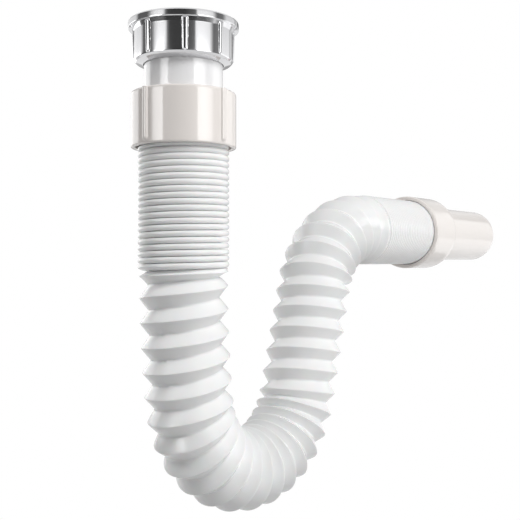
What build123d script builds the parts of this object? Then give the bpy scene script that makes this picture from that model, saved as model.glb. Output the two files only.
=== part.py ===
"""Flexible basin trap: chromed union nut, telescopic tailpiece, slip nut and spiral bellows hose.

Millimetres. The origin is the seat of the basin waste on the union washer, on the inlet axis.
+Z is up, and the hose lies in the XZ plane with its outlet along +X.
"""
import math
import os

from build123d import *

# Clearances
FIT_GAP = 0.3
SLIDE_GAP = 0.3
BOND_GAP = 0.1

# Union nut, with the plain bore of a G 1 1/2 thread
NUT_THREAD_LENGTH = 11.4
NUT_WALL = 3.075
NUT_FLANGE_WIDTH = 2.5
NUT_FLANGE_HEIGHT = 4.0
NUT_LIP = 3.2
NUT_RELIEF = 0.7
NUT_CHAMFER = 1.0
NUT_SKIRT_DROP = 1.2
NUT_RIBS = 8
NUT_RIB_TOP_R = 1.7
NUT_RIB_END_R = 1.1
NUT_RIB_SINK = 0.3
NUT_RIB_STOP = 2.4
NUT_RIB_START = -90

# Union washer and tailpiece
WASHER_THICKNESS = 3.0
TAIL_R = 20.0
TAIL_WALL = 2.0
TAIL_FLANGE = 3.0
TAIL_FLANGE_WIDTH = 2.075
TAIL_FLANGE_PLAY = 0.35
TAIL_SHOWN = 14.2

# Slip nut, thrust washer and cone seal
SLIP_WALL = 2.5
SLIP_LENGTH = 27.7
SLIP_LIP = 3.0
SLIP_RIBS = 4
SLIP_RIB_R = 1.5
SLIP_RIB_SINK = 0.5
SLIP_RIB_STOP = 3.0
SLIP_RIB_START = 0
THRUST_THICKNESS = 1.5
SEAL_HEIGHT = 7.0
SEAL_LAND = 2.0
SEAL_WALL = 2.6

# Inlet socket
SOCKET_MOUTH_LAND = 1.4
SOCKET_WALL = 1.55
SOCKET_THREAD_LENGTH = 9.0
SOCKET_DEPTH = 18.5
SOCKET_STOP = 2.0
TAIL_END_PLAY = 1.0

# Hose wall and its closed folds
HOSE_WALL = 1.3
CUFF_LENGTH = 10.0
RING_DEPTH = 1.1
INLET_RINGS = 20
INLET_RING_PITCH = 3.15
OUTLET_RING_PITCH = 2.4
OUTLET_CLOSED_LENGTH = 58.0
CLOSED_WALL = 5.25

# Open spiral folds and the line they follow
CREST_DROP = 0.65
FOLD_DEPTH = 4.6
FOLD_PITCH = 12.6
BEND_CLOSING = 0.5
FIRST_FOLD = 4.725
LAST_FOLDS = 1.5
LEAD_IN = 0.21
ARCS_PER_TURN = 4
HALF_FOLD = 0.5
TURN_ROUNDING = 1e-9
SWAY_R = 470.0
SWAY_ANGLE = 8.0
BEND_R = 48.2
LEG_LEAN = 15.5
LEG_LENGTH = 66.8
TOP_BEND_R = 50.0
OUTLET_RUN = 8.0

# Outlet adapter
OUTLET_COLLAR_WALL = 2.75
OUTLET_COLLAR_LENGTH = 31.0
OUTLET_MOUTH_DEPTH = 24.0
OUTLET_COLLAR_CHAMFER = 1.2
SPIGOT_R = 20.0
SPIGOT_WALL = 2.2
SPIGOT_LENGTH = 85.0
SPIGOT_CHAMFER = 1.2

# Standing on its base, centred on the other two axes
STAND = (Align.CENTER, Align.CENTER, Align.MIN)

# Levels down the inlet axis
flange_seat_z = -WASHER_THICKNESS
nut_lip_top_z = flange_seat_z - TAIL_FLANGE
nut_bottom_z = nut_lip_top_z - NUT_LIP
nut_flange_z = NUT_THREAD_LENGTH - NUT_FLANGE_HEIGHT
slip_top_z = nut_bottom_z - NUT_SKIRT_DROP - TAIL_SHOWN
slip_bottom_z = slip_top_z - SLIP_LENGTH
thrust_top_z = slip_top_z - SLIP_LIP
seal_top_z = thrust_top_z - THRUST_THICKNESS
socket_top_z = seal_top_z - SEAL_LAND
socket_thread_end_z = socket_top_z - SOCKET_THREAD_LENGTH
socket_stop_z = socket_top_z - SOCKET_DEPTH
socket_end_z = socket_stop_z - SOCKET_STOP
tail_end_z = socket_stop_z + TAIL_END_PLAY
cuff_top_z = socket_thread_end_z - FIT_GAP
rings_top_z = cuff_top_z - CUFF_LENGTH
rings_end_z = rings_top_z - INLET_RINGS * INLET_RING_PITCH

# Radii, outwards from the tailpiece
tail_bore_r = TAIL_R - TAIL_WALL
tail_flange_r = TAIL_R + TAIL_FLANGE_WIDTH
nut_thread_r = tail_flange_r + TAIL_FLANGE_PLAY
nut_body_r = nut_thread_r + NUT_WALL
nut_flange_r = nut_body_r + NUT_FLANGE_WIDTH
seal_r = TAIL_R + SEAL_WALL
seal_tip_r = TAIL_R + 2 * SLIDE_GAP
socket_bore_r = TAIL_R + SLIDE_GAP
socket_thread_r = seal_r + SOCKET_MOUTH_LAND
socket_spigot_r = socket_bore_r + SOCKET_WALL
slip_bore_r = socket_thread_r + FIT_GAP
slip_r = slip_bore_r + SLIP_WALL
cuff_bore_r = socket_spigot_r + BOND_GAP
ring_crest_r = cuff_bore_r + HOSE_WALL
closed_bore_r = ring_crest_r - CLOSED_WALL
crest_r = ring_crest_r - CREST_DROP
root_r = crest_r - FOLD_DEPTH
collar_bore_r = ring_crest_r + FIT_GAP
outlet_collar_r = collar_bore_r + OUTLET_COLLAR_WALL


def ring_grooves(rings, pitch):
    """Groove and crest points of closed folds, as (radius, distance) pairs from their start."""
    points = []
    for ring in range(rings):
        points.append((ring_crest_r - RING_DEPTH, (ring + HALF_FOLD) * pitch))
        points.append((ring_crest_r, (ring + 1) * pitch))
    return points


# Union nut: flange, drafted ribs, thread bore with a relief under it and a conical lip
with BuildPart() as union_nut:
    with BuildSketch(Plane.XZ):
        with BuildLine():
            Polyline(
                (nut_thread_r, NUT_THREAD_LENGTH),
                (nut_flange_r, NUT_THREAD_LENGTH),
                (nut_flange_r, nut_flange_z),
                (nut_body_r, nut_flange_z),
                (nut_body_r, nut_bottom_z + NUT_CHAMFER),
                (nut_body_r - NUT_CHAMFER, nut_bottom_z),
                (TAIL_R + FIT_GAP, nut_bottom_z - NUT_SKIRT_DROP),
                (TAIL_R + FIT_GAP, nut_lip_top_z),
                (nut_thread_r + NUT_RELIEF, nut_lip_top_z),
                (nut_thread_r + NUT_RELIEF, 0),
                (nut_thread_r, 0),
                close=True,
            )
        make_face()
    revolve(axis=Axis.Z)
    rib_end_z = nut_bottom_z + NUT_RIB_STOP
    rib_height = nut_flange_z - rib_end_z
    with PolarLocations(nut_body_r - NUT_RIB_SINK, NUT_RIBS, start_angle=NUT_RIB_START):
        with Locations((0, 0, rib_end_z)):
            Cone(NUT_RIB_END_R, NUT_RIB_TOP_R, rib_height, align=STAND)
            Sphere(NUT_RIB_END_R)
union_nut.part.label = "union_nut"

# Union washer between the basin waste and the tailpiece flange
with BuildPart() as union_washer:
    with BuildSketch(Plane.XY.offset(flange_seat_z)):
        Circle(tail_flange_r)
        Circle(tail_bore_r, mode=Mode.SUBTRACT)
    extrude(amount=WASHER_THICKNESS)
union_washer.part.label = "union_washer"

# Tailpiece: plain tube with a seat flange
with BuildPart() as inlet_tailpiece:
    with BuildSketch(Plane.XZ):
        with BuildLine():
            Polyline(
                (tail_bore_r, flange_seat_z),
                (tail_flange_r, flange_seat_z),
                (tail_flange_r, nut_lip_top_z),
                (TAIL_R, nut_lip_top_z),
                (TAIL_R, tail_end_z),
                (tail_bore_r, tail_end_z),
                close=True,
            )
        make_face()
    revolve(axis=Axis.Z)
inlet_tailpiece.part.label = "inlet_tailpiece"

# Slip nut: lip over the thrust washer, threaded part, skirt round the hose cuff, four grip ribs
with BuildPart() as slip_nut:
    with BuildSketch(Plane.XZ):
        with BuildLine():
            Polyline(
                (TAIL_R + FIT_GAP, slip_top_z),
                (slip_r, slip_top_z),
                (slip_r, slip_bottom_z),
                (slip_bore_r, slip_bottom_z),
                (slip_bore_r, thrust_top_z),
                (TAIL_R + FIT_GAP, thrust_top_z),
                close=True,
            )
        make_face()
    revolve(axis=Axis.Z)
    slip_rib_z = slip_bottom_z + SLIP_RIB_STOP
    with PolarLocations(slip_r - SLIP_RIB_SINK, SLIP_RIBS, start_angle=SLIP_RIB_START):
        with Locations((0, 0, slip_rib_z)):
            Cylinder(SLIP_RIB_R, slip_top_z - slip_rib_z, align=STAND)
            Sphere(SLIP_RIB_R)
slip_nut.part.label = "slip_nut"

# Thrust washer under the slip nut's lip
with BuildPart() as thrust_washer:
    with BuildSketch(Plane.XY.offset(seal_top_z)):
        Circle(slip_bore_r - FIT_GAP)
        Circle(TAIL_R + FIT_GAP, mode=Mode.SUBTRACT)
    extrude(amount=THRUST_THICKNESS)
thrust_washer.part.label = "thrust_washer"

# Cone seal: a land above the socket's mouth and a taper that wedges into it
with BuildPart() as cone_seal:
    with BuildSketch(Plane.XZ):
        with BuildLine():
            Polyline(
                (socket_bore_r, seal_top_z),
                (seal_r, seal_top_z),
                (seal_r, socket_top_z),
                (seal_tip_r, seal_top_z - SEAL_HEIGHT),
                (socket_bore_r, seal_top_z - SEAL_HEIGHT),
                close=True,
            )
        make_face()
    revolve(axis=Axis.Z)
cone_seal.part.label = "cone_seal"

# Inlet socket: seal cone, bore for the tailpiece, male thread, stop and the spigot in the hose cuff
with BuildPart() as inlet_socket:
    with BuildSketch(Plane.XZ):
        with BuildLine():
            Polyline(
                (seal_r, socket_top_z),
                (socket_thread_r, socket_top_z),
                (socket_thread_r, socket_thread_end_z),
                (socket_spigot_r, socket_thread_end_z),
                (socket_spigot_r, socket_end_z),
                (tail_bore_r, socket_end_z),
                (tail_bore_r, socket_stop_z),
                (socket_bore_r, socket_stop_z),
                (seal_tip_r, seal_top_z - SEAL_HEIGHT),
                close=True,
            )
        make_face()
    revolve(axis=Axis.Z)
inlet_socket.part.label = "inlet_socket"


class HoseLine:
    """Centreline of the open folds: tangent arcs and lines in the XZ plane, from the closed folds on.

    A heading is the angle from straight down, turning towards +X.
    """

    def __init__(self):
        """Lay the stretches end to end and note where each starts, with its fold pitch."""
        lean = math.radians(180 - LEG_LEAN)
        sway = math.radians(SWAY_ANGLE)
        turn = math.radians(90)
        stretches = [
            (FIRST_FOLD, 0.0, FIRST_FOLD),
            (SWAY_R * sway, 1 / SWAY_R, FOLD_PITCH),
            (BEND_R * (lean - sway), 1 / BEND_R, FOLD_PITCH),
            (LEG_LENGTH, 0.0, FOLD_PITCH),
            (TOP_BEND_R * (lean - turn), -1 / TOP_BEND_R, FOLD_PITCH),
            (OUTLET_RUN, 0.0, FOLD_PITCH),
            (LAST_FOLDS * OUTLET_RING_PITCH, 0.0, OUTLET_RING_PITCH),
        ]
        self.starts = []
        length, turns, heading, x, z = 0.0, 0.0, 0.0, 0.0, rings_end_z
        for run, curvature, straight_pitch in stretches:
            pitch = straight_pitch / (1 + BEND_CLOSING * crest_r * abs(curvature))
            self.starts.append((length, turns, heading, x, z, curvature, pitch))
            x, z, heading = self.step(x, z, heading, curvature, run)
            length += run
            turns += run / pitch
        self.length, self.turns = length, turns
        self.end = (x, z)

    @staticmethod
    def step(x, z, heading, curvature, run):
        """Go a distance along one stretch and return the new place and heading."""
        after = heading + curvature * run
        if curvature:
            x -= (math.cos(after) - math.cos(heading)) / curvature
            z -= (math.sin(after) - math.sin(heading)) / curvature
        else:
            x += math.sin(heading) * run
            z -= math.cos(heading) * run
        return x, z, after

    def point(self, turns, angle, radius):
        """Point at a radius and an angle round the centreline, at a place counted in fold turns."""
        turns = turns * self.turns / self.whole_turns()
        row = [start for start in self.starts if start[1] <= turns + TURN_ROUNDING][-1]
        length, first, heading, x, z, curvature, pitch = row
        x, z, heading = self.step(x, z, heading, curvature, (turns - first) * pitch)
        inward = radius * math.cos(angle)
        return Vector(
            x + inward * math.cos(heading),
            -radius * math.sin(angle),
            z + inward * math.sin(heading),
        )

    def whole_turns(self):
        """Number of fold turns, rounded so that the last fold closes."""
        return round(self.turns)


hose_line = HoseLine()
outlet_start_x, outlet_axis_z = hose_line.end
outlet_axis = Axis((0, 0, outlet_axis_z), (1, 0, 0))
outlet_rings = int(OUTLET_CLOSED_LENGTH / OUTLET_RING_PITCH)
collar_x = outlet_start_x + OUTLET_CLOSED_LENGTH
collar_end_x = collar_x + OUTLET_COLLAR_LENGTH
mouth_end_x = collar_x + OUTLET_MOUTH_DEPTH
hose_end_x = mouth_end_x - FIT_GAP
spigot_end_x = collar_end_x + SPIGOT_LENGTH


def fold_arc(quarter, shift, radius):
    """Arc of a fold's edge over one part of a turn, a shift of turns further along the hose."""
    angles = [2 * math.pi * (quarter + half / 2) / ARCS_PER_TURN for half in range(3)]
    places = [(quarter + half / 2) / ARCS_PER_TURN + shift for half in range(3)]
    return Edge.make_three_point_arc(
        *[hose_line.point(place, angle, radius) for place, angle in zip(places, angles)]
    )


def end_arc(quarter, place, radius):
    """Arc of a plain end circle over one part of a turn."""
    angles = [2 * math.pi * (quarter + half / 2) / ARCS_PER_TURN for half in range(3)]
    return Edge.make_three_point_arc(*[hose_line.point(place, angle, radius) for angle in angles])


def fold_wall(inset):
    """Faces of one side of the spiral fold wall, from end circle to end circle.

    Ruled faces join the crest to the root half a turn on and to the next crest. A flat step in the
    seam's plane closes the spiral at each end.
    """
    crest, root = crest_r - inset, root_r - inset
    last = hose_line.whole_turns()
    lead = LEAD_IN
    end = ring_crest_r - inset
    count = (last - 2) * ARCS_PER_TURN
    faces = []
    for quarter in range(count):
        rows = [fold_arc(quarter, lead + half / 2, crest if half != 1 else root) for half in range(3)]
        faces.append(Face.make_surface_from_curves(rows[0], rows[1]))
        faces.append(Face.make_surface_from_curves(rows[1], rows[2]))
    for quarter in range(ARCS_PER_TURN):
        first = fold_arc(quarter, lead, crest)
        faces.append(Face.make_surface_from_curves(end_arc(quarter, 0, end), first))
        final = fold_arc(count + quarter, lead, crest)
        faces.append(Face.make_surface_from_curves(final, end_arc(quarter, last, end)))
    turns = count / ARCS_PER_TURN
    for place, start in ((0, 0), (last, turns)):
        corners = [
            hose_line.point(place, 0, end),
            hose_line.point(start + lead, 0, crest),
            hose_line.point(start + lead + HALF_FOLD, 0, root),
            hose_line.point(start + lead + 1, 0, crest),
        ]
        faces.append(Face(Wire.make_polygon(corners, close=True)))
    return faces


def end_cap(place):
    """Flat ring that joins the outer and inner walls at one end of the open folds."""
    rings = []
    for radius in (ring_crest_r, ring_crest_r - HOSE_WALL):
        rings.append(Wire([end_arc(quarter, place, radius) for quarter in range(ARCS_PER_TURN)]))
    return Face(rings[0], [rings[1]])


end_caps = [end_cap(0), end_cap(hose_line.whole_turns())]
open_folds = Solid(Shell(fold_wall(0) + fold_wall(HOSE_WALL) + end_caps))

# Hose: cuff and closed rings on the inlet axis, open spiral folds, closed rings at the outlet
with BuildPart() as hose:
    with BuildSketch(Plane.XZ):
        with BuildLine():
            Polyline(
                (cuff_bore_r, cuff_top_z),
                (ring_crest_r, cuff_top_z),
                (ring_crest_r, rings_top_z),
                *[(r, rings_top_z - far) for r, far in ring_grooves(INLET_RINGS, INLET_RING_PITCH)],
                (closed_bore_r, rings_end_z),
                (closed_bore_r, socket_end_z - BOND_GAP),
                (cuff_bore_r, socket_end_z - BOND_GAP),
                close=True,
            )
        make_face()
    revolve(axis=Axis.Z)
    add(open_folds)
    with BuildSketch(Plane.XZ):
        with BuildLine():
            Polyline(
                (outlet_start_x, outlet_axis_z + closed_bore_r),
                (outlet_start_x, outlet_axis_z + ring_crest_r),
                *[
                    (outlet_start_x + far, outlet_axis_z + r)
                    for r, far in ring_grooves(outlet_rings, OUTLET_RING_PITCH)
                ],
                (hose_end_x, outlet_axis_z + ring_crest_r),
                (hose_end_x, outlet_axis_z + closed_bore_r),
                close=True,
            )
        make_face()
    revolve(axis=outlet_axis)
hose.part.label = "hose"

# Outlet adapter: one moulding, a collar round the hose end that steps to the wall pipe's spigot
with BuildPart() as outlet_adapter:
    with BuildSketch(Plane.XZ):
        with BuildLine():
            Polyline(
                (collar_x, outlet_axis_z + collar_bore_r),
                (collar_x, outlet_axis_z + outlet_collar_r),
                (collar_end_x - OUTLET_COLLAR_CHAMFER, outlet_axis_z + outlet_collar_r),
                (collar_end_x, outlet_axis_z + outlet_collar_r - OUTLET_COLLAR_CHAMFER),
                (collar_end_x, outlet_axis_z + SPIGOT_R),
                (spigot_end_x - SPIGOT_CHAMFER, outlet_axis_z + SPIGOT_R),
                (spigot_end_x, outlet_axis_z + SPIGOT_R - SPIGOT_CHAMFER),
                (spigot_end_x, outlet_axis_z + SPIGOT_R - SPIGOT_WALL),
                (mouth_end_x, outlet_axis_z + SPIGOT_R - SPIGOT_WALL),
                (mouth_end_x, outlet_axis_z + collar_bore_r),
                close=True,
            )
        make_face()
    revolve(axis=outlet_axis)
outlet_adapter.part.label = "outlet_adapter"

os.makedirs("parts", exist_ok=True)
for piece in (
    union_nut, union_washer, inlet_tailpiece, slip_nut, thrust_washer,
    cone_seal, inlet_socket, hose, outlet_adapter,
):
    export_step(piece.part, f"parts/{piece.part.label}.step")
    print(piece.part.label, piece.part.is_valid, round(piece.part.volume))
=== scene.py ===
"""Looks of the flexible basin trap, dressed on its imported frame.

Sizes are named in millimetres. Meshes are made in the row frame, in metres, with every object at the
origin, so object coordinates are the row frame too.
"""
import logging
import math
from dataclasses import dataclass, field
from enum import Enum
from typing import Callable

import bpy
import numpy as np
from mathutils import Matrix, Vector


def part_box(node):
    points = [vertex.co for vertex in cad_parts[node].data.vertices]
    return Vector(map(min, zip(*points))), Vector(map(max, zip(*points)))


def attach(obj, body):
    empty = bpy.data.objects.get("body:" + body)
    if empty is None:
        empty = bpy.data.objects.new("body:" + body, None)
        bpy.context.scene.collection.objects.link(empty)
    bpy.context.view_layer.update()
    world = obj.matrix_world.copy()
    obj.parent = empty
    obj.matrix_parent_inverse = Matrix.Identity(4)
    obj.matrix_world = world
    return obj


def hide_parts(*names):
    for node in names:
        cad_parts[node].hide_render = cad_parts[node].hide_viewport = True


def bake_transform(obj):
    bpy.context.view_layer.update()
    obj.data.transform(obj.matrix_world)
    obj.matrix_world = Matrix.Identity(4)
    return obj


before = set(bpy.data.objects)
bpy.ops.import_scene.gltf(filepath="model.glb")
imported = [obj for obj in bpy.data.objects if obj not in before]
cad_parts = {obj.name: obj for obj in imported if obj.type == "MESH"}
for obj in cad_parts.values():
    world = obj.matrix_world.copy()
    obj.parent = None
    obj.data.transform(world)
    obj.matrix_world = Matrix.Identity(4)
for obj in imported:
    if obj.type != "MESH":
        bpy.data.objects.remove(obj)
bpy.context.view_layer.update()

MM = 0.001
TURN = 2 * math.pi
TINY = 1e-6
# Corners of two sheets become one where they agree to one part in this many of a millimetre
WELD = 2000
# Grains across one patch of the coarse noise, and that noise's detail
COARSE_GRAINS, COARSE_DETAIL = 4, 2.0
# Numbers of the mix node's colour sockets, because its number and vector sockets share their names
MIX_A, MIX_B, MIX_RESULT = 6, 7, 2
PURE_WHITE = "#FFFFFF"
FLOOR_GREY = "#C9C9C9"
log = logging.getLogger("basin_trap")


class Axis(Enum):
    """The line that a turned piece is turned about."""

    INLET = "inlet"
    OUTLET = "outlet"


class Pattern(Enum):
    """What a finish's fine relief looks like, with the detail of its noise."""

    POLISHED = 1.0
    MOULDED = 2.0
    BLOWN = 4.0


@dataclass(frozen=True)
class Finish:
    """One real material and the process that made its surface."""

    name: str
    colour: str
    shade: str
    roughness: float
    spread: float
    grain_mm: float
    relief_mm: float
    pattern: Pattern
    metallic: float = 0.0
    ior: float = 1.5
    soft: float = 0.0
    soft_mm: float = 1.0


# Chrome on polished brass: mirror bright, with the slow waves that a buffing wheel leaves
CHROME = Finish(
    "chromed_brass", "#DCDCDD", "#D2D2D4", roughness=0.07, spread=0.04,
    grain_mm=9.0, relief_mm=0.004, pattern=Pattern.POLISHED, metallic=1.0,
)
# Injection-moulded polypropylene from a polished tool: cold white, clear reflections
WHITE = Finish(
    "white_gloss", "#F1F1F2", "#EEEEEF", roughness=0.07, spread=0.05,
    grain_mm=6.0, relief_mm=0.003, pattern=Pattern.MOULDED, ior=1.75,
)
# The same moulding in a warmer ivory
IVORY = Finish(
    "ivory_gloss", "#EFE9E5", "#ECE6E1", roughness=0.07, spread=0.05,
    grain_mm=6.0, relief_mm=0.003, pattern=Pattern.MOULDED, ior=1.75,
)
# Blow-moulded bellows: satin skin, thin enough for some light to creep under it
BELLOWS = Finish(
    "hose_white", "#F5F5F5", "#F1F1F1", roughness=0.18, spread=0.08,
    grain_mm=4.0, relief_mm=0.005, pattern=Pattern.BLOWN, ior=1.6, soft=0.08, soft_mm=1.6,
)
# Black seal rubber: matt, with a faint bloom
RUBBER = Finish(
    "seal_rubber", "#1C1C1D", "#2A2A2B", roughness=0.62, spread=0.15,
    grain_mm=1.5, relief_mm=0.010, pattern=Pattern.MOULDED,
)

# What the gloss reflects: bearing from the camera in degrees, positive to its right, and the glow there
# near the floor, where the slip nut sees it, where the tailpiece does, and where the chrome does
TENT = (
    (-150, 1, 2.2, 2.2, 0.8), (-125, 0.5, 2.4, 2.4, 0.8), (-110, 0.2, 2.6, 2.6, 0.8),
    (-104, 0.05, 0.25, 0.25, 0.5), (-99, 0.05, 0.12, 0.12, 0.12), (-72, 0.05, 0.12, 0.12, 0.12),
    (-67, 0.05, 0.4, 0.3, 0.35), (-62, 0.1, 1.6, 3.4, 0.7), (-54, 0.15, 3.8, 4.4, 0.95),
    (-40, 0.18, 4.6, 4.8, 1), (-38.5, 0.1, 0.6, 0.6, 1), (-36, 0.08, 0.5, 0.5, 0.9),
    (-31, 0.05, 0.33, 0.33, 0.16), (-26, 0.05, 0.2, 0.2, 0.06), (-18, 0.05, 0.05, 0.05, 0.05),
    (8, 0.05, 0.05, 0.05, 0.05), (26, 0.05, 0.3, 0.3, 0.12), (30, 0.08, 0.45, 0.45, 0.16),
    (33, 0.1, 0.57, 0.57, 0.9), (34, 0.1, 0.6, 0.6, 1), (36, 0.16, 4, 4, 1), (52, 0.15, 3.6, 3.6, 1),
    (66, 0.3, 2.2, 2.2, 0.9), (73, 0.5, 0.4, 0.4, 0.4), (77, 0.9, 0.2, 0.2, 0.15),
    (92, 0.9, 0.3, 0.3, 0.2), (98, 0.9, 0.9, 0.9, 0.5), (104, 1, 1.5, 1.5, 0.8),
    (118, 1.9, 1.35, 1.35, 0.8), (134, 1.9, 1.35, 1.35, 0.8), (136, 1.8, 0.5, 0.5, 0.5),
    (150, 1.2, 0.95, 0.95, 0.65), (158, 1, 0.6, 0.6, 0.15), (172, 1, 0.4, 0.4, 0.06),
    (190, 1, 0.4, 0.4, 0.06), (198, 1, 0.6, 0.6, 0.2), (202, 1, 1.6, 1.6, 0.9), (210, 1, 2.2, 2.2, 0.8),
)
# Height on the tent in millimetres, and the shares of the four glows there
TENT_LEVELS = (
    (-395, 1, 0, 0, 0), (-190, 1, 0, 0, 0), (-165, 0, 1, 0, 0), (33, 0, 1, 0, 0), (45, 0, 0, 1, 0),
    (204, 0, 0, 1, 0), (211, 0, 0, 0, 1.45), (285, 0, 0, 0, 1.08), (520, 0, 0, 0, 0.9),
)


@dataclass(frozen=True)
class Lamp:
    """One soft box: its bearing and rise from the object in degrees, its size in metres and its power."""

    name: str
    side: float
    rise: float
    width: float
    height: float
    watts: float


LAMPS = (
    Lamp("key_right", side=37, rise=41, width=0.38, height=0.38, watts=5.6),
    Lamp("low_right", side=52, rise=8, width=0.42, height=0.30, watts=2.2),
    Lamp("side_right", side=88, rise=8, width=0.42, height=0.42, watts=1.2),
    Lamp("fill_left", side=-60, rise=36, width=0.42, height=0.42, watts=1.5),
    Lamp("edge_left", side=-100, rise=18, width=0.42, height=0.60, watts=1.9),
    Lamp("back_right", side=140, rise=10, width=0.42, height=0.42, watts=1.3),
    Lamp("back_left", side=-155, rise=10, width=0.42, height=0.42, watts=2.2),
)


def srgb(code: str) -> tuple[float, float, float, float]:
    """Turn an sRGB hex code into a linear colour.

    Args:
        code: Six hex digits after a hash sign.

    Returns:
        Linear red, green, blue and alpha.
    """
    raw = np.array([int(code[i:i + 2], 16) for i in (1, 3, 5)]) / 255
    linear = np.where(raw <= 0.04045, raw / 12.92, ((raw + 0.055) / 1.055) ** 2.4)
    return (*linear.tolist(), 1.0)


def add_node(tree: bpy.types.NodeTree, kind: str, inputs: dict | None = None, **settings) -> bpy.types.Node:
    """Add one shader node, with its settings, its fixed values and its links.

    Args:
        tree: The node tree to add to.
        kind: The node's type name.
        inputs: Input name or number to a value, or to the output socket that feeds it.
        **settings: Attributes of the node.

    Returns:
        The new node.
    """
    node = tree.nodes.new(kind)
    for key, value in settings.items():
        setattr(node, key, value)
    for key, value in (inputs or {}).items():
        if isinstance(value, bpy.types.NodeSocket):
            tree.links.new(value, node.inputs[key])
        else:
            node.inputs[key].default_value = value
    return node


def empty_material(name: str) -> bpy.types.Material:
    """New material whose node tree is empty.

    Args:
        name: The material's name.

    Returns:
        The material.
    """
    material = bpy.data.materials.new(name)
    material.use_nodes = True
    material.node_tree.nodes.clear()
    return material


def make_material(finish: Finish) -> bpy.types.Material:
    """Build a finish as a procedural material.

    Two sizes of noise in object coordinates shift the colour and the gloss a little and give the skin
    its relief, at the finish's real grain size.

    Args:
        finish: What the surface is.

    Returns:
        The material.
    """
    material = empty_material(finish.name)
    tree = material.node_tree
    place = add_node(tree, "ShaderNodeTexCoord").outputs["Object"]
    scale = 1 / (finish.grain_mm * MM)
    coarse = add_node(
        tree, "ShaderNodeTexNoise",
        {"Vector": place, "Scale": scale / COARSE_GRAINS, "Detail": COARSE_DETAIL},
    )
    fine = add_node(
        tree, "ShaderNodeTexNoise", {"Vector": place, "Scale": scale, "Detail": finish.pattern.value}
    )
    colour = add_node(
        tree, "ShaderNodeMix",
        {"Factor": coarse.outputs["Fac"], MIX_A: srgb(finish.colour), MIX_B: srgb(finish.shade)},
        data_type="RGBA",
    )
    gloss = add_node(
        tree, "ShaderNodeMapRange",
        {
            "Value": fine.outputs["Fac"],
            "To Min": finish.roughness,
            "To Max": finish.roughness + finish.spread,
        },
    )
    bump = add_node(
        tree, "ShaderNodeBump",
        {"Height": fine.outputs["Fac"], "Distance": finish.relief_mm * MM, "Strength": 1.0},
    )
    skin = add_node(
        tree, "ShaderNodeBsdfPrincipled",
        {
            "Base Color": colour.outputs[MIX_RESULT],
            "Roughness": gloss.outputs["Result"],
            "Normal": bump.outputs["Normal"],
            "Metallic": finish.metallic,
            "IOR": finish.ior,
            "Subsurface Weight": finish.soft,
            "Subsurface Scale": finish.soft_mm * MM,
        },
    )
    add_node(tree, "ShaderNodeOutputMaterial", {"Surface": skin.outputs["BSDF"]})
    return material


@dataclass
class Palette:
    """The object's materials by finish name."""

    made: dict[str, bpy.types.Material] = field(default_factory=dict)

    def dress(self, piece: bpy.types.Object, finish: Finish) -> None:
        """Give a piece its one material.

        Args:
            piece: The mesh object.
            finish: What it is made of.
        """
        if finish.name not in self.made:
            self.made[finish.name] = make_material(finish)
        piece.data.materials.clear()
        piece.data.materials.append(self.made[finish.name])


def mesh_object(name: str, points: np.ndarray, faces: np.ndarray) -> bpy.types.Object:
    """Make a smooth-shaded mesh object at the origin.

    Args:
        name: The object's name.
        points: Vertices in millimetres, one row each.
        faces: Vertex numbers, one row of three or four per face.

    Returns:
        The linked object.
    """
    corners = faces.shape[1]
    mesh = bpy.data.meshes.new(name)
    mesh.vertices.add(len(points))
    mesh.vertices.foreach_set("co", (points * MM).astype(np.float32).ravel())
    mesh.loops.add(faces.size)
    mesh.loops.foreach_set("vertex_index", faces.astype(np.int32).ravel())
    mesh.polygons.add(len(faces))
    mesh.polygons.foreach_set("loop_start", np.arange(0, faces.size, corners, dtype=np.int32))
    mesh.polygons.foreach_set("use_smooth", np.ones(len(faces), dtype=bool))
    mesh.update(calc_edges=True)
    mesh.validate()
    piece = bpy.data.objects.new(name, mesh)
    bpy.context.scene.collection.objects.link(piece)
    return piece


def grid_quads(rows: int, columns: int, wrap: bool) -> np.ndarray:
    """Faces of a grid of vertices numbered row by row.

    Args:
        rows: Number of rows.
        columns: Number of columns.
        wrap: Whether the last row and column join the first.

    Returns:
        Four vertex numbers per face.
    """
    row, column = np.meshgrid(
        np.arange(rows if wrap else rows - 1), np.arange(columns if wrap else columns - 1), indexing="ij"
    )
    below, beside = (row + 1) % rows, (column + 1) % columns
    corners = [(row, column), (row, beside), (below, beside), (below, column)]
    return np.stack([i * columns + j for i, j in corners], axis=-1).reshape(-1, 4)


def outward(points: np.ndarray, faces: np.ndarray) -> np.ndarray:
    """Turn the faces of a closed mesh so that they point outwards, by the sign of its volume.

    Args:
        points: The vertices.
        faces: Vertex numbers per face.

    Returns:
        The faces, turned round if need be.
    """
    a, b, c = (points[faces[:, i]] for i in (0, 1, 2))
    volume = np.einsum("ij,ij->", a, np.cross(b, c))
    if faces.shape[1] == 4:
        d = points[faces[:, 3]]
        volume += np.einsum("ij,ij->", a, np.cross(c, d))
    return faces if volume > 0 else faces[:, ::-1]


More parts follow.
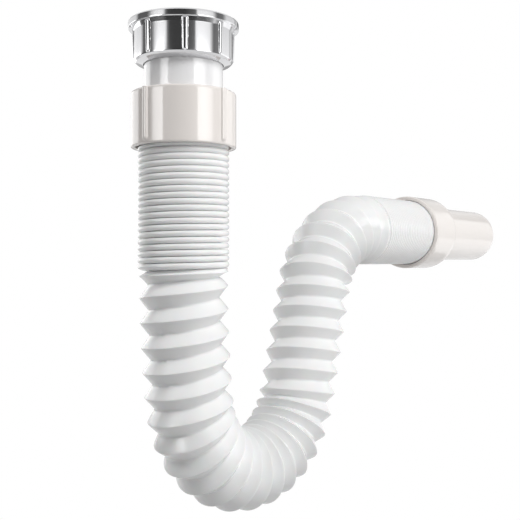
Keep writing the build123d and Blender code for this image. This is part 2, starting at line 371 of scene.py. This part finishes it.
def rounded_loop(corners: list[tuple[float, float, float]], steps: int = 5) -> np.ndarray:
    """Closed profile with every corner turned into an arc.

    The arc from P to Q round the corner C is the rational curve
    ((1-t)^2 P + 2 t (1-t) w C + t^2 Q) / ((1-t)^2 + 2 t (1-t) w + t^2), with w the sine of half the corner.

    Args:
        corners: Radius, place along the axis and rounding of each corner, in order.
        steps: Points on each arc.

    Returns:
        Radius and place along the axis, one row per point.
    """
    table = np.array(corners, float)
    here, rounding = table[:, :2], table[:, 2:]
    back = np.roll(here, 1, axis=0) - here
    ahead = np.roll(here, -1, axis=0) - here
    back /= np.linalg.norm(back, axis=1, keepdims=True)
    ahead /= np.linalg.norm(ahead, axis=1, keepdims=True)
    half = np.arccos(np.clip((back * ahead).sum(1, keepdims=True), -1, 1)) / 2
    reach = rounding / np.tan(half)
    t = np.linspace(0, 1, steps)[None, :, None]
    start, end = (here + back * reach)[:, None], (here + ahead * reach)[:, None]
    first, middle, last = (1 - t) ** 2, 2 * t * (1 - t) * np.sin(half)[:, None], t ** 2
    arc = (first * start + middle * here[:, None] + last * end) / (first + middle + last)
    return arc.reshape(-1, 2)


def refine(loop: np.ndarray, step: float) -> np.ndarray:
    """Cut the long edges of a closed profile into even parts.

    Args:
        loop: Radius and place, one row per point.
        step: Longest part that is left.

    Returns:
        The profile with the new points in it.
    """
    ahead = np.roll(loop, -1, axis=0) - loop
    parts = np.maximum(1, np.ceil(np.linalg.norm(ahead, axis=1) / step)).astype(int)
    which = np.repeat(np.arange(len(loop)), parts)
    share = (np.arange(len(which)) - np.repeat(np.cumsum(parts) - parts, parts)) / parts[which]
    return loop[which] + ahead[which] * share[:, None]


def turned(
    name: str,
    loop: np.ndarray,
    angles: np.ndarray,
    axis: Axis = Axis.INLET,
    axis_z: float = 0.0,
    relief: Callable[[np.ndarray, np.ndarray, np.ndarray], np.ndarray] | None = None,
) -> bpy.types.Object:
    """Turn a closed profile about an axis: (R cos a, R sin a, s), with R = r(s) or relief(a, r, s).

    Args:
        name: The object's name.
        loop: Radius and place along the axis in millimetres.
        angles: The angles of the profile's copies.
        axis: The line to turn about.
        axis_z: Height of the outlet axis.
        relief: Gives the radius with ribs or threads from angle, radius and place.

    Returns:
        The linked object.
    """
    angle = angles[:, None]
    radius, along = loop[None, :, 0], loop[None, :, 1]
    full = relief(angle, radius, along) if relief else radius + 0 * angle
    across, up, along = full * np.cos(angle), full * np.sin(angle), along + 0 * angle
    if axis is Axis.INLET:
        points = np.stack([across, up, along], axis=-1)
    else:
        points = np.stack([along, across, up + axis_z], axis=-1)
    points = points.reshape(-1, 3)
    faces = grid_quads(len(angles), len(loop), wrap=True)
    return mesh_object(name, points, outward(points, faces))


def even_angles(count: int) -> np.ndarray:
    """Angles in radians, evenly spaced round a turn."""
    return np.arange(count) * TURN / count


def smooth(value: np.ndarray, low: float, high: float) -> np.ndarray:
    """Smooth step t^2 (3 - 2 t), from 0 at low to 1 at high."""
    t = np.clip((value - low) / (high - low), 0, 1)
    return t * t * (3 - 2 * t)


def span(node: str) -> tuple[np.ndarray, np.ndarray]:
    """Lowest and highest corner of a solid of the frame, in millimetres."""
    low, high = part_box(node)
    return np.array(low) / MM, np.array(high) / MM


@dataclass
class Ribs:
    """Half-oval grip ribs on a turned wall, drafted and round at the lower end."""

    count: int
    start: float
    wall: float
    top_w: float
    end_w: float
    top_h: float
    end_h: float
    top_z: float
    end_z: float
    margin: float = 1.12
    wall_depth: float = 0.6

    def angles(self, fine: int, coarse: int) -> np.ndarray:
        """Angles that crowd where the ribs are.

        Args:
            fine: Copies of the profile across each rib.
            coarse: Copies between two ribs.

        Returns:
            Angles in radians.
        """
        sector = TURN / self.count
        edge = self.margin * self.top_w / self.wall
        across = np.linspace(-edge, edge, fine, endpoint=False)
        between = np.linspace(edge, sector - edge, coarse, endpoint=False)
        ribs = math.radians(self.start) + np.arange(self.count) * sector
        return (ribs[:, None] + np.concatenate([across, between])[None, :]).ravel()

    def raise_wall(self, angle: np.ndarray, radius: np.ndarray, along: np.ndarray) -> np.ndarray:
        """Radius of the wall with its ribs.

        At a distance d round the wall from a rib's middle, and b below its end, the radius is
        wall + h sqrt(1 - (d^2 + b^2) / w^2), with w half the rib's width and h its height there.

        Args:
            angle: Angles round the axis.
            radius: Radius of the plain wall.
            along: Height of each point.

        Returns:
            Radius with the ribs.
        """
        sector = TURN / self.count
        turn = (angle - math.radians(self.start) + sector / 2) % sector - sector / 2
        share = np.clip((along - self.end_z) / (self.top_z - self.end_z), 0, 1)
        width = self.end_w + (self.top_w - self.end_w) * share
        height = self.end_h + (self.top_h - self.end_h) * share
        below = np.clip(self.end_z - along, 0, None)
        reach = 1 - ((self.wall * turn) ** 2 + below ** 2) / width ** 2
        raised = self.wall + height * np.sqrt(np.clip(reach, 0, None))
        outer = (radius > self.wall - self.wall_depth) & (along < self.top_z + TINY)
        return np.where(outer, np.maximum(radius, raised * (reach > 0)), radius + 0 * angle)


@dataclass
class UnionNut:
    """Chromed union nut with its washer: the threaded joint to the basin waste."""

    palette: Palette
    wall: float = 25.1
    thread_r: float = 22.425
    relief_r: float = 23.125
    tail_clear_r: float = 20.3
    flange: float = 3.6
    neck: float = 1.7
    neck_draft: float = 0.76
    undercut: float = 0.6
    lip_top: float = -6.0
    chamfer: float = 1.0
    skirt_drop: float = 1.2
    rib_stop: float = 2.4
    step: float = 0.42
    thread_pitch: float = 2.309
    thread_depth: float = 1.05
    thread_slack: float = 0.01
    tooth_rise: float = 1.5
    tooth_slope: float = 3.2
    thread_foot: tuple[float, float] = (0.1, 0.9)
    thread_mouth: tuple[float, float] = (0.5, 1.6)
    washer_width: float = 4.075
    washer_round: float = 0.5
    washer_copies: int = 96

    def thread(self, angle: np.ndarray, radius: np.ndarray, along: np.ndarray, top: float) -> np.ndarray:
        """How deep the thread is cut into the bore: a tooth every pitch and turn, run out at both ends.

        Across the tooth, with p its phase, the cut is depth times clip(rise - slope |p - 1/2|, 0, 1).

        Args:
            angle: Angles round the axis.
            radius: Radius of the plain nut.
            along: Height of each point.
            top: Height of the nut's mouth.

        Returns:
            What to add to the radius.
        """
        phase = (along / self.thread_pitch - angle / TURN) % 1
        tooth = np.clip(self.tooth_rise - self.tooth_slope * np.abs(phase - 0.5), 0, 1)
        ends = smooth(along, *self.thread_foot) * smooth(top - along, *self.thread_mouth)
        bore = (radius < self.thread_r + self.thread_slack) & (along > 0)
        return np.where(bore, tooth * ends * self.thread_depth, 0)

    def build(self) -> None:
        """Make the nut with ribs and thread, and the washer."""
        low, high = span("union_nut")
        top, tip, rim = high[2], low[2], high[0]
        seat, base = top - self.flange, tip + self.skirt_drop
        ribs = Ribs(
            count=8, start=-90.0, wall=self.wall, top_w=1.65, end_w=1.2, top_h=0.95, end_h=0.55,
            top_z=seat, end_z=base + self.rib_stop,
        )

        def relief(angle: np.ndarray, radius: np.ndarray, along: np.ndarray) -> np.ndarray:
            """Ribs outside and the thread inside."""
            return ribs.raise_wall(angle, radius, along) + self.thread(angle, radius, along, top)

        loop = rounded_loop([
            (self.thread_r, top, 0.6),
            (rim, top, 0.8),
            (rim, seat, 0.15),
            (self.wall + self.neck_draft, seat + self.undercut, 0.08),
            (self.wall, seat - self.neck, 0.1),
            (self.wall, base + self.chamfer, 0.6),
            (self.wall - self.chamfer, base, 0.5),
            (self.tail_clear_r, tip, 0.3),
            (self.tail_clear_r, self.lip_top, 0.2),
            (self.relief_r, self.lip_top, 0.2),
            (self.relief_r, 0.0, 0.2),
            (self.thread_r, 0.0, 0.2),
        ])
        angles = ribs.angles(fine=22, coarse=12)
        nut = turned("union_nut_turned", refine(loop, self.step), angles, relief=relief)
        self.palette.dress(nut, CHROME)
        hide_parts("union_nut")
        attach(nut, "union_nut")

        low, high = span("union_washer")
        rim, bore = high[0], high[0] - self.washer_width
        corners = ((bore, low[2]), (rim, low[2]), (rim, high[2]), (bore, high[2]))
        ring = rounded_loop([(*corner, self.washer_round) for corner in corners])
        washer = turned("union_washer_ring", ring, even_angles(self.washer_copies))
        self.palette.dress(washer, RUBBER)
        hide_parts("union_washer")
        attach(washer, "inlet")


@dataclass
class Telescope:
    """White tailpiece in the slip joint: slip nut, thrust washer, cone seal and hose socket."""

    palette: Palette
    tail_r: float = 20.0
    tail_wall: float = 2.0
    tail_flange: float = 3.0
    tail_step: float = 3.0
    tail_copies: int = 128
    slip_r: float = 26.8
    slip_wall: float = 2.5
    slip_lip: float = 3.0
    slip_step: float = 0.5
    rib_stop: float = 3.0
    lip_clear: float = 0.3

    def build(self) -> None:
        """Make the tailpiece and the slip nut, and paint the small parts inside."""
        low, high = span("inlet_tailpiece")
        bore, seat = self.tail_r - self.tail_wall, high[2] - self.tail_flange
        loop = rounded_loop([
            (bore, high[2], 0.4),
            (high[0], high[2], 0.4),
            (high[0], seat, 0.4),
            (self.tail_r, seat, 0.3),
            (self.tail_r, low[2], 0.6),
            (bore, low[2], 0.5),
        ])
        tail = turned("tailpiece_tube", refine(loop, self.tail_step), even_angles(self.tail_copies))
        self.palette.dress(tail, WHITE)
        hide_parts("inlet_tailpiece")
        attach(tail, "inlet")

        low, high = span("slip_nut")
        top, base = high[2], low[2]
        ribs = Ribs(
            count=4, start=0.0, wall=self.slip_r, top_w=1.7, end_w=1.7, top_h=1.2, end_h=1.2,
            top_z=top, end_z=base + self.rib_stop,
        )
        clear, inside = self.tail_r + self.lip_clear, self.slip_r - self.slip_wall
        loop = rounded_loop([
            (clear, top, 0.5),
            (self.slip_r, top, 1.0),
            (self.slip_r, base, 0.8),
            (inside, base, 0.5),
            (inside, top - self.slip_lip, 0.3),
            (clear, top - self.slip_lip, 0.3),
        ])
        angles = ribs.angles(fine=24, coarse=22)
        nut = turned("slip_nut_turned", refine(loop, self.slip_step), angles, relief=ribs.raise_wall)
        self.palette.dress(nut, IVORY)
        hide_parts("slip_nut")
        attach(nut, "slip_nut")
        for node, finish in (("thrust_washer", WHITE), ("cone_seal", RUBBER), ("inlet_socket", IVORY)):
            self.palette.dress(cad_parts[node], finish)


@dataclass
class HoseLine:
    """Centreline of the hose: tangent lines and arcs in the XZ plane, from the cuff to the outlet end.

    A heading is the angle from straight down, turning towards +X.
    """

    top_z: float
    end_x: float
    cuff: float = 10.0
    rings: float = 63.0
    inlet_tight: float = 4.725
    sway_r: float = 470.0
    sway: float = 8.0
    bend_r: float = 48.2
    lean: float = 15.5
    leg: float = 66.8
    top_bend_r: float = 50.0
    run: float = 8.0
    outlet_tight: float = 3.6
    outlet_x: float = 176.385

    def __post_init__(self) -> None:
        """Lay the stretches end to end."""
        up, sway, level = math.radians(180 - self.lean), math.radians(self.sway), math.radians(90)
        runs = [
            self.cuff + self.rings + self.inlet_tight,
            self.sway_r * sway,
            self.bend_r * (up - sway),
            self.leg,
            self.top_bend_r * (up - level),
            self.run + self.outlet_tight + self.end_x - self.outlet_x,
        ]
        self.curvature = np.array([0, 1 / self.sway_r, 1 / self.bend_r, 0, -1 / self.top_bend_r, 0])
        self.starts = np.concatenate([[0], np.cumsum(runs)])[:-1]
        self.length = float(sum(runs))
        self.heading = np.concatenate([[0], np.cumsum(self.curvature * runs)])[:-1]
        self.x, self.z = np.zeros(len(runs)), np.full(len(runs), self.top_z)
        for i, run in enumerate(runs[:-1]):
            dx, dz, _ = self.step(np.array(i), np.array(run))
            self.x[i + 1], self.z[i + 1] = self.x[i] + dx, self.z[i] + dz
        self.bend_start, self.bend_end = self.starts[2:4]
        self.open_start = self.cuff + self.rings
        self.open_end = self.length - (self.end_x - self.outlet_x)

    def step(self, which: np.ndarray, run: np.ndarray) -> tuple[np.ndarray, np.ndarray, np.ndarray]:
        """Go along stretches: the chord of an arc, or of a line where there is no curvature.

        Args:
            which: Number of the stretch.
            run: Distance from its start.

        Returns:
            The steps in X and in Z, and the heading.
        """
        bend, first = self.curvature[which], self.heading[which]
        after = first + bend * run
        chord = run * np.sinc((after - first) / TURN)
        middle = (after + first) / 2
        return chord * np.sin(middle), -chord * np.cos(middle), after

    def stretch(self, s: np.ndarray) -> np.ndarray:
        """Number of the stretch at each distance from the cuff's top."""
        return np.clip(np.searchsorted(self.starts, s, side="right") - 1, 0, len(self.starts) - 1)

    def place(self, s: np.ndarray) -> tuple[np.ndarray, np.ndarray, np.ndarray]:
        """Places along the line.

        Args:
            s: Distances from the cuff's top.

        Returns:
            X, Z and heading.
        """
        which = self.stretch(s)
        dx, dz, heading = self.step(which, s - self.starts[which])
        return self.x[which] + dx, self.z[which] + dz, heading


@dataclass
class BellowsHose:
    """The hose: one spiral fold, pressed shut at both ends and pulled open between them."""

    palette: Palette
    ring_r: float = 23.25
    crest_r: float = 22.6
    root_r: float = 18.0
    skin: float = 1.3
    inlet_pitch: float = 3.15
    outlet_pitch: float = 2.4
    fold_pitch: float = 12.6
    bend_closing: float = 0.5
    lead_in: float = 0.21
    sample: float = 0.2
    blur: float = 1.6
    blur_samples: int = 30
    inlet_opens: tuple[float, float] = (-0.5, 2.5)
    outlet_opens: tuple[float, float] = (-1.0, 5.0)
    inlet_folds: tuple[float, float] = (-1.0, 2.0)
    outlet_folds: tuple[float, float] = (3.0, 6.0)
    crest_soft: float = 0.015
    bead_share: float = 0.92
    bead_drop: float = 0.3
    slit_from: float = 0.86
    columns: int = 72
    rows: tuple[float, ...] = (0, 0.02, 0.1, 0.2, 0.32, 0.43, 0.5, 0.57, 0.68, 0.8, 0.9, 0.98)
    split_at: float = 0.5
    spare_turns: int = 2
    blend_drop: float = 2.0
    outlet_reach: float = 58.0

    def __post_init__(self) -> None:
        """Find the line and count the fold's turns along it, with a pitch that runs over softly."""
        _, high = span("hose")
        line = self.line = HoseLine(top_z=high[2], end_x=high[0])
        s = np.arange(0, line.length, self.sample)
        bend = np.abs(line.curvature[line.stretch(s)])
        pitch = self.fold_pitch / (1 + self.bend_closing * self.crest_r * bend)
        pitch[s < line.open_start + line.inlet_tight] = line.inlet_tight
        pitch[s < line.open_start] = self.inlet_pitch
        pitch[s > line.open_end - line.outlet_tight] = self.outlet_pitch
        number = np.arange(-self.blur_samples, self.blur_samples + 1)
        kernel = np.exp(-0.5 * (number * self.sample / self.blur) ** 2)
        padded = np.pad(1 / pitch, self.blur_samples, mode="edge")
        density = np.convolve(padded, kernel / kernel.sum(), mode="valid")
        self.s, self.turns = s, np.cumsum(density) * self.sample
        self.s[-1] = line.length
        self.phase = -(self.lead_in + line.open_start / self.inlet_pitch) % 1

    def shut(self, s: np.ndarray) -> np.ndarray:
        """How far the folds are pressed shut, from 0 to 1.

        Args:
            s: Distances along the hose.

        Returns:
            The share at each place.
        """
        inlet = smooth(s - self.line.open_start, *self.inlet_opens)
        outlet = smooth(self.line.open_end - self.line.outlet_tight - s, *self.outlet_opens)
        return 1 - inlet * outlet

    def radius(self, t: np.ndarray, s: np.ndarray) -> np.ndarray:
        """Outer radius of the folds.

        With u from 0 at the crest to 1 at the root, a shut fold is a bead 1 - sqrt(1 - (k u)^2) with a
        slit beside it, and an open one is a V with a soft crest, sqrt(u^2 + c^2) - c.

        Args:
            t: Place in the fold, 0 at the crest and 0.5 at the root.
            s: Distances along the hose.

        Returns:
            The radius, plain at both hidden ends.
        """
        shut, soft, share = self.shut(s), self.crest_soft, self.bead_share
        u = 2 * np.abs((t + 0.5) % 1 - 0.5)
        vee = (np.sqrt(u ** 2 + soft ** 2) - soft) / (math.sqrt(1 + soft ** 2) - soft)
        round_off = (1 - np.sqrt(1 - (share * u) ** 2)) / (1 - math.sqrt(1 - share ** 2))
        slit = np.clip((u - self.slit_from) / (1 - self.slit_from), 0, 1)
        bead = (self.bead_drop * round_off + slit) / (1 + self.bead_drop)
        inlet = smooth(s - self.line.cuff, *self.inlet_folds)
        outlet = smooth(self.line.length - s, *self.outlet_folds)
        crest = self.crest_r + (self.ring_r - self.crest_r) * shut
        return crest - (crest - self.root_r) * (shut * bead + (1 - shut) * vee) * inlet * outlet

    def wall(self, first: int, last: int, inset: float) -> np.ndarray:
        """Grid that follows the spiral.

        Row i, column j lies at turn i // M + t_i + j / N and at angle 2 pi j / N, with M rows a fold, t_i
        the row's place in its fold and N columns.

        Args:
            first: Number of the first row.
            last: Number of the last row.
            inset: How far the wall lies inside the outer skin.

        Returns:
            Points in millimetres, rows by columns.
        """
        number = np.arange(first, last + 1)
        t = np.array(self.rows)[number % len(self.rows)][:, None]
        share = np.arange(self.columns + 1)[None, :] / self.columns
        turn = (number // len(self.rows))[:, None] + t + share
        s = np.interp(turn, self.turns, self.s)
        x, z, heading = self.line.place(s)
        radius = self.radius(t, s) - inset
        angle = TURN * (share + self.phase)
        inward = radius * np.cos(angle)
        return np.stack(
            [x + inward * np.cos(heading), -radius * np.sin(angle), z + inward * np.sin(heading)], axis=-1
        )

    def piece(self, name: str, first: int, last: int) -> bpy.types.Object:
        """Closed length of hose between two rows, with an outer and an inner skin and a rim at each end.

        Args:
            name: The object's name.
            first: Number of the first row.
            last: Number of the last row.

        Returns:
            The linked object.
        """
        outer, inner = self.wall(first, last, 0.0), self.wall(first, last, self.skin)
        edge = len(self.rows) + 1
        sheets = (
            outer,
            inner[:, ::-1],
            np.stack([inner[0], outer[0]]),
            np.stack([outer[-1], inner[-1]]),
            np.stack([outer[:edge, 0], inner[:edge, 0]]),
            np.stack([inner[-edge:, -1], outer[-edge:, -1]]),
        )
        points, faces, count = [], [], 0
        for sheet in sheets:
            points.append(sheet.reshape(-1, 3))
            faces.append(grid_quads(*sheet.shape[:2], wrap=False) + count)
            count += len(points[-1])
        joined, quads = np.concatenate(points), np.concatenate(faces)
        _, keep, number = np.unique(
            np.round(joined * WELD).astype(np.int64), axis=0, return_index=True, return_inverse=True
        )
        quads = number.reshape(-1)[quads]
        triangles = np.concatenate([quads[:, [0, 1, 2]], quads[:, [0, 2, 3]]])
        a, b, c = triangles.T
        triangles = triangles[(a != b) & (b != c) & (c != a)]
        return mesh_object(name, joined[keep], outward(joined[keep], triangles))

    def build(self) -> None:
        """Make the hose as two lengths that meet at a fold's root in the U bend."""
        fold, line = len(self.rows), self.line
        split = line.bend_start + self.split_at * (line.bend_end - line.bend_start)
        meet = int(np.interp(split, self.s, self.turns)) * fold + fold // 2
        end = (int(self.turns[-1]) + self.spare_turns) * fold
        inlet = self.piece("hose_inlet_length", -self.spare_turns * fold, meet)
        outlet = self.piece("hose_outlet_length", meet, end)
        for length in (inlet, outlet):
            self.palette.dress(length, BELLOWS)
            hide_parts("hose")
        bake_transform(inlet)
        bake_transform(outlet)


@dataclass
class OutletAdapter:
    """Ivory outlet adapter: a collar round the hose end that steps down to the wall pipe's spigot."""

    palette: Palette
    collar_r: float = 26.3
    collar_bore: float = 23.55
    collar: float = 31.0
    mouth: float = 24.0
    spigot_r: float = 20.0
    spigot_wall: float = 2.2
    step: float = 4.0
    copies: int = 144

    def build(self) -> None:
        """Turn the adapter about the outlet axis."""
        low, high = span("outlet_adapter")
        axis_z = (low[2] + high[2]) / 2
        start, end, bore = low[0], high[0], self.spigot_r - self.spigot_wall
        loop = rounded_loop([
            (self.collar_bore, start, 0.5),
            (self.collar_r, start, 0.9),
            (self.collar_r, start + self.collar, 1.6),
            (self.spigot_r, start + self.collar, 0.8),
            (self.spigot_r, end, 1.2),
            (bore, end, 0.5),
            (bore, start + self.mouth, 0.4),
            (self.collar_bore, start + self.mouth, 0.4),
        ])
        angles = even_angles(self.copies)
        adapter = turned("outlet_adapter_turned", refine(loop, self.step), angles, Axis.OUTLET, axis_z)
        self.palette.dress(adapter, IVORY)
        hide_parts("outlet_adapter")
        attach(adapter, "outlet")


@dataclass
class Studio:
    """Camera, lamps, floor, backdrop and the tent that the gloss reflects."""

    camera_mm: tuple[float, float, float] = (-303.9, -289.6, -109.0)
    heading: float = 38.3
    focal_px: float = 820.0
    picture_px: float = 520.0
    sensor: float = 36.0
    clip_m: float = 50.0
    target_mm: tuple[float, float, float] = (60.0, 0.0, -90.0)
    lamp_m: float = 1.0
    sky_level: float = 0.16
    tent_r: float = 900.0
    floor_z: float = -400.0
    floor_reach: float = 6000.0
    fade_m: tuple[float, float] = (0.18, 0.43)
    fade_least: float = 0.7

    def toward(self, side: float, rise: float, distance: float) -> Vector:
        """Place at a bearing from the target, with 0 degrees at the camera and positive to its right.

        Args:
            side: Bearing in degrees.
            rise: Height angle in degrees.
            distance: Distance in metres.

        Returns:
            The place in metres.
        """
        a, e, h = math.radians(side), math.radians(rise), math.radians(self.heading)
        back = Vector((-math.cos(h), -math.sin(h), 0))
        right = Vector((math.sin(h), -math.cos(h), 0))
        level = back * math.cos(a) + right * math.sin(a)
        way = level * math.cos(e) + Vector((0, 0, math.sin(e)))
        return Vector(self.target_mm) * MM + way * distance

    def add_light(self, lamp: Lamp) -> None:
        """Add a soft box that faces the object and that no reflection shows.

        Args:
            lamp: Where it stands, its size and its power.
        """
        data = bpy.data.lights.new(lamp.name, "AREA")
        data.shape, data.size, data.size_y, data.energy = "RECTANGLE", lamp.width, lamp.height, lamp.watts
        light = bpy.data.objects.new(lamp.name, data)
        light.location = place = self.toward(lamp.side, lamp.rise, self.lamp_m)
        light.visible_glossy = False
        light.rotation_euler = (Vector(self.target_mm) * MM - place).to_track_quat("-Z", "Y").to_euler()
        bpy.context.scene.collection.objects.link(light)

    def build_tent(self) -> None:
        """Round strip of soft boxes and black flags that only reflections see.

        Point (i, j) lies at bearing b_i and height z_j on a cylinder about the inlet axis; its glow runs
        straight from one listed bearing to the next.
        """
        strips, levels = np.array(TENT, float), np.array(TENT_LEVELS, float)
        a = np.radians(strips[:, :1] + self.heading) + math.pi + 0 * levels[None, :, 0]
        height = levels[None, :, 0] + 0 * a
        points = np.stack([self.tent_r * np.cos(a), self.tent_r * np.sin(a), height], axis=-1)
        faces = grid_quads(len(strips), len(levels), wrap=False)
        tent = mesh_object("reflected_tent", points.reshape(-1, 3), faces)
        values = tent.data.attributes.new("glow", "FLOAT", "POINT")
        values.data.foreach_set("value", (strips[:, 1:] @ levels[:, 1:].T).astype(np.float32).ravel())
        material = empty_material("tent_glow")
        tree = material.node_tree
        level = add_node(tree, "ShaderNodeAttribute", attribute_name="glow")
        light = add_node(
            tree, "ShaderNodeEmission", {"Color": srgb(PURE_WHITE), "Strength": level.outputs["Fac"]}
        )
        add_node(tree, "ShaderNodeOutputMaterial", {"Surface": light.outputs["Emission"]})
        tent.data.materials.append(material)
        tent.visible_camera = tent.visible_diffuse = tent.visible_shadow = tent.visible_transmission = False

    def white_ray(self, tree: bpy.types.NodeTree) -> bpy.types.NodeSocket:
        """1 for camera, mirror and glass rays, which see a plain white backdrop, and 0 for the rest.

        Args:
            tree: The node tree to add to.

        Returns:
            The socket that holds it.
        """
        path = add_node(tree, "ShaderNodeLightPath")
        seen = path.outputs["Is Camera Ray"]
        for ray in ("Is Glossy Ray", "Is Transmission Ray"):
            either = add_node(tree, "ShaderNodeMath", {0: seen, 1: path.outputs[ray]}, operation="MAXIMUM")
            seen = either.outputs[0]
        return seen

    def build_world(self) -> None:
        """White backdrop, with a lower level for the light that falls on the object."""
        world = bpy.data.worlds.new("studio_white")
        world.use_nodes = True
        tree = world.node_tree
        tree.nodes.clear()
        strength = add_node(
            tree, "ShaderNodeMapRange",
            {"Value": self.white_ray(tree), "To Min": self.sky_level, "To Max": 1.0},
        )
        sky = add_node(
            tree, "ShaderNodeBackground",
            {"Color": srgb(PURE_WHITE), "Strength": strength.outputs["Result"]},
        )
        add_node(tree, "ShaderNodeOutputWorld", {"Surface": sky.outputs["Background"]})
        bpy.context.scene.world = world

    def build_floor(self) -> None:
        """Pale floor that takes the shadow near the object and fades into the white backdrop."""
        flat = np.array([(-1, -1), (1, -1), (1, 1), (-1, 1)]) * self.floor_reach
        points = np.column_stack([flat, np.full(len(flat), self.floor_z)])
        floor = mesh_object("floor", points, np.array([[0, 1, 2, 3]]))
        material = empty_material("floor_white")
        tree = material.node_tree
        place = add_node(tree, "ShaderNodeTexCoord").outputs["Object"]
        level = (self.target_mm[0] * MM, self.target_mm[1] * MM, self.floor_z * MM)
        away = add_node(tree, "ShaderNodeVectorMath", {0: place, 1: level}, operation="DISTANCE")
        fade = add_node(
            tree, "ShaderNodeMapRange",
            {
                "Value": away.outputs["Value"],
                "From Min": self.fade_m[0],
                "From Max": self.fade_m[1],
                "To Min": self.fade_least,
            },
            interpolation_type="SMOOTHSTEP",
        )
        share = add_node(
            tree, "ShaderNodeMath",
            {0: fade.outputs["Result"], 1: self.white_ray(tree)}, operation="MULTIPLY",
        )
        paint = add_node(tree, "ShaderNodeBsdfDiffuse", {"Color": srgb(FLOOR_GREY)})
        glow = add_node(tree, "ShaderNodeEmission", {"Color": srgb(PURE_WHITE), "Strength": 1.0})
        mixed = add_node(
            tree, "ShaderNodeMixShader",
            {0: share.outputs[0], 1: paint.outputs["BSDF"], 2: glow.outputs["Emission"]},
        )
        add_node(tree, "ShaderNodeOutputMaterial", {"Surface": mixed.outputs["Shader"]})
        floor.data.materials.append(material)

    def build_camera(self) -> None:
        """Level camera, placed and sized by the fit to the photograph."""
        data = bpy.data.cameras.new("camera")
        data.sensor_width = self.sensor
        data.lens = self.sensor * self.focal_px / self.picture_px
        data.clip_end = self.clip_m
        camera = bpy.data.objects.new("camera", data)
        camera.location = Vector(self.camera_mm) * MM
        h = math.radians(self.heading)
        camera.rotation_euler = Vector((math.cos(h), math.sin(h), 0)).to_track_quat("-Z", "Y").to_euler()
        bpy.context.scene.collection.objects.link(camera)
        bpy.context.scene.camera = camera

    def build(self) -> None:
        """Set up the picture."""
        bpy.context.scene.view_settings.view_transform = "Standard"
        self.build_camera()
        self.build_world()
        self.build_floor()
        for lamp in LAMPS:
            self.add_light(lamp)
        self.build_tent()


def main() -> None:
    """Build the trap piece by piece, then the studio."""
    logging.basicConfig(level=logging.INFO, format="%(name)s: %(message)s")
    palette = Palette()
    pieces = [kind(palette) for kind in (UnionNut, Telescope, BellowsHose, OutletAdapter)]
    for assembly in (*pieces, Studio()):
        assembly.build()
        log.info("built %s", type(assembly).__name__)
    log.info("materials: %s", ", ".join(sorted(palette.made)))


if __name__ == "__main__":
    main()
